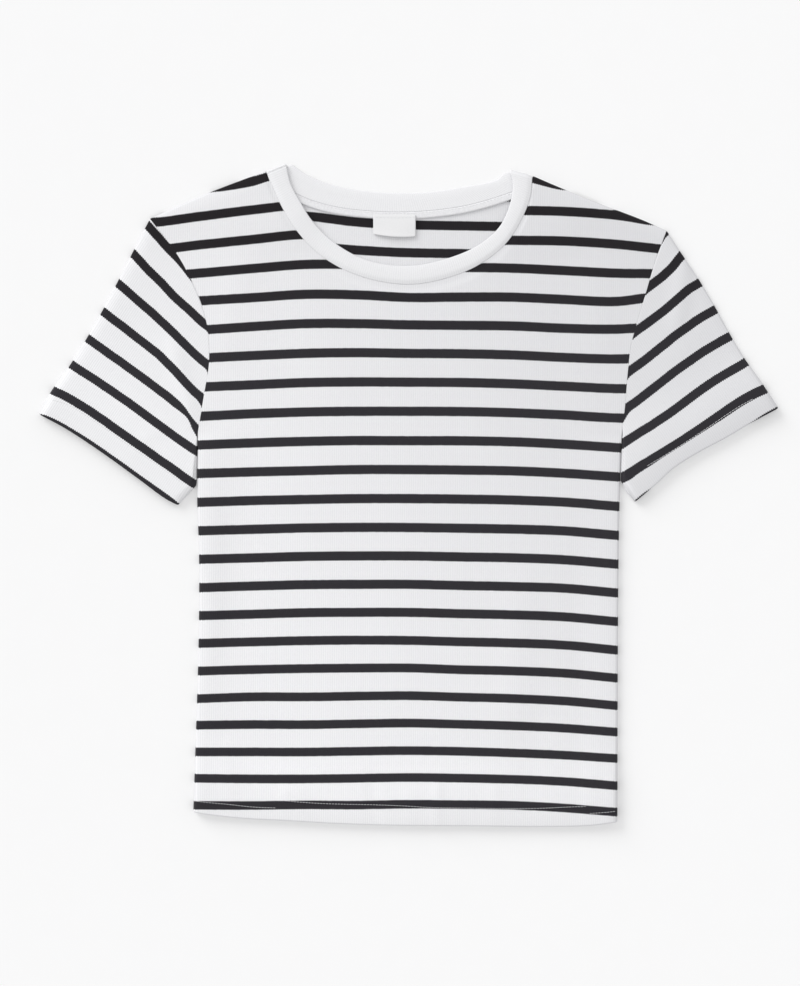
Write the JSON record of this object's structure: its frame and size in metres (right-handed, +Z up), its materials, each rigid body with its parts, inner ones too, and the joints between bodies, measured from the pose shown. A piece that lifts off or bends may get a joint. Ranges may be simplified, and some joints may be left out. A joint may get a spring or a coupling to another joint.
{
  "type": "crop top",
  "caption": "Short-sleeved crew-neck crop top in fine ribbed knit, white with narrow black cross stripes, laid flat on its back.",
  "frame": {"origin": "on the surface the top lies on, below the middle of its bounding box", "axes": "+Z up from the surface through the layers; +X across the garment, to the right as seen from above with the neck at the top; +Y from the hem towards the neck"},
  "size_m": [0.6042, 0.5431, 0.0072],
  "materials": {
    "striped_knit": "matt fine rib knit, white with black cross stripes",
    "neck_rib": "matt white rib knit",
    "tape": "woven white tape",
    "label_satin": "blank woven satin"
  },
  "bodies": {
    "root": {"back": "striped_knit", "front": "striped_knit", "sleeve_left": "striped_knit", "sleeve_right": "striped_knit", "neckband": "neck_rib", "neck_tape": "tape", "label": "label_satin"}
  },
  "joints": []
}
